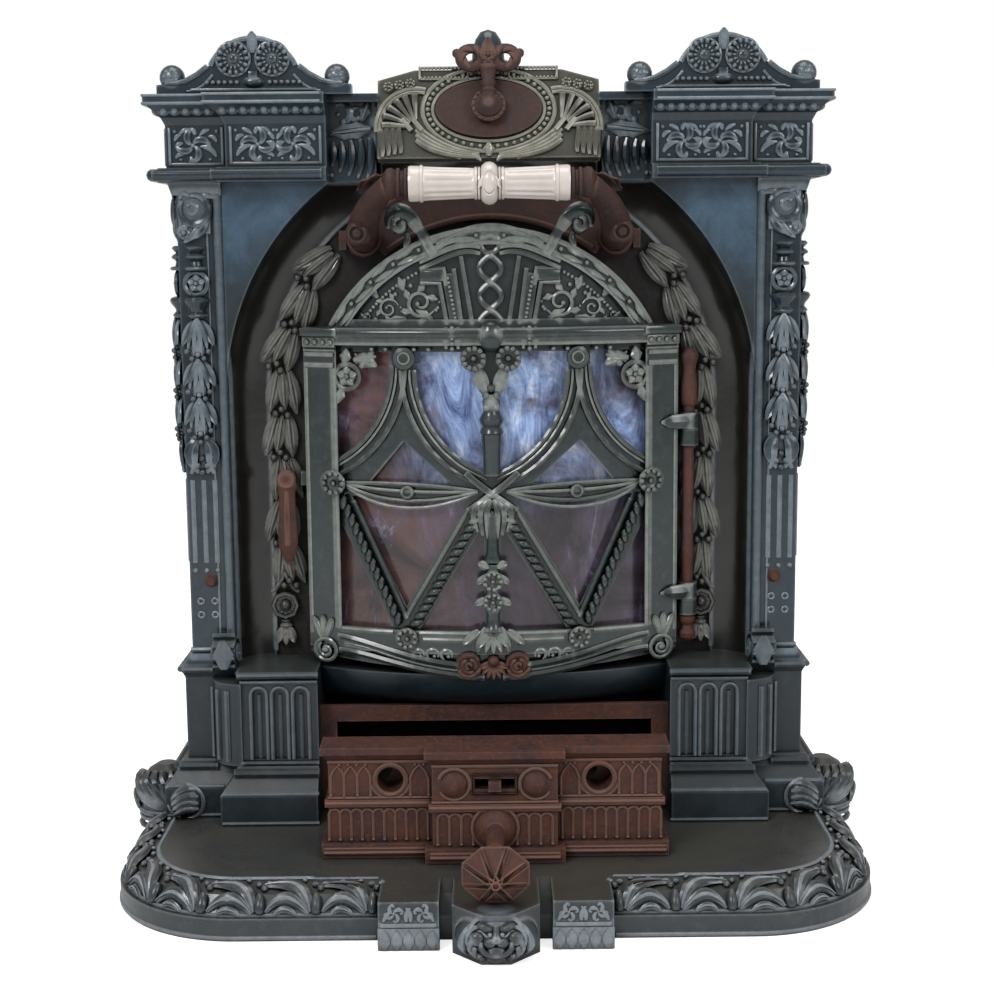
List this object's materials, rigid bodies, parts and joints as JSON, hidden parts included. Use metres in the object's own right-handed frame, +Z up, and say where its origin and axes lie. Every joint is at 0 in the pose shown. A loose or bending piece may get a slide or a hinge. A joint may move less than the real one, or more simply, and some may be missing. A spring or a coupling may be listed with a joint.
{
  "type": "enamelled cast iron stove",
  "caption": "Enamelled cast iron room stove on a lobed hearth base, with a bow-fronted mica fire door, hood flap with porcelain grip, damper key and sliding ash drawer.",
  "frame": {"origin": "on the floor under the middle of the bounding box", "axes": "+Z up, the front with the fire door faces -Y, +X to the right as seen from the front"},
  "size_m": [0.633, 0.47, 0.7066],
  "materials": {
    "enamel": "gloss",
    "bare_iron": "matte",
    "porcelain": "gloss",
    "mica": "gloss",
    "firebrick": "matte"
  },
  "bodies": {
    "stove_body": {"apron": "enamel", "back_panel": "bare_iron", "consoles": "enamel", "crest": "enamel", "drawer_surround": "bare_iron", "drums": "enamel", "entablature_left": "enamel", "entablature_right": "enamel", "firebrick_back": "firebrick", "firebrick_sides": "firebrick", "flap_ears": "bare_iron", "flue_collar": "bare_iron", "front_drops": "enamel", "front_panel": "enamel", "garland_left": "enamel", "garland_right": "enamel", "grate": "bare_iron", "grate_bearers": "bare_iron", "hearth_base": "enamel", "hinge_brackets": "bare_iron", "hinge_rod": "bare_iron", "latch_pin": "bare_iron", "mouth_plate": "bare_iron", "oval_plate": "bare_iron", "pediment_left": "enamel", "pediment_right": "enamel", "pilaster_left": "enamel", "pilaster_right": "enamel", "pilaster_screws": "bare_iron", "plinth_left": "enamel", "plinth_right": "enamel", "side_drop_left": "enamel", "side_drop_right": "enamel", "side_panel_left": "enamel", "side_panel_right": "enamel", "tie_rods": "bare_iron", "top_plate": "bare_iron"},
    "fire_door": {"door_casting": "enamel", "mica_lower": "mica", "mica_upper": "mica", "mica_strips": "bare_iron", "door_knuckles": "bare_iron"},
    "latch": {"latch_lever": "bare_iron"},
    "hood_flap": {"flap_plate": "bare_iron", "flap_arm_left": "bare_iron", "flap_arm_right": "bare_iron", "grip_rod": "bare_iron", "grip_egg": "porcelain", "grip_left": "porcelain", "grip_right": "porcelain", "ferrules": "bare_iron"},
    "damper": {"damper_spindle": "bare_iron", "damper_key": "bare_iron", "damper_disc": "bare_iron"},
    "ash_drawer": {"drawer_front": "bare_iron", "ash_pan": "bare_iron", "knob_stem": "bare_iron", "drawer_knob": "bare_iron"},
    "air_shutter": {"air_shutter": "bare_iron"}
  },
  "joints": [
    {"name": "door_hinge", "type": "hinge", "parent": "stove_body", "child": "fire_door", "pos_m": [0.17, 0.028, 0.3], "axis": [0, 0, 1], "range_deg": [0, 110]},
    {"name": "latch_pivot", "type": "hinge", "parent": "stove_body", "child": "latch", "pos_m": [-0.178, 0.027, 0.328], "axis": [0, 1, 0], "range_deg": [0, 25]},
    {"name": "flap_tilt", "type": "hinge", "parent": "stove_body", "child": "hood_flap", "pos_m": [0, 0.03, 0.532], "axis": [1, 0, 0], "range_deg": [0, 25]},
    {"name": "damper_turn", "type": "hinge", "parent": "stove_body", "child": "damper", "pos_m": [0, 0.01098, 0.63794], "axis": [0, 0.9511, -0.309], "range_deg": [0, 90]},
    {"name": "drawer_slide", "type": "slide", "parent": "stove_body", "child": "ash_drawer", "axis": [0, -1, 0], "range_m": [-0.084, 0.09]},
    {"name": "shutter_slide", "type": "slide", "parent": "ash_drawer", "child": "air_shutter", "axis": [1, 0, 0], "range_m": [-0.011, 0.011]}
  ]
}
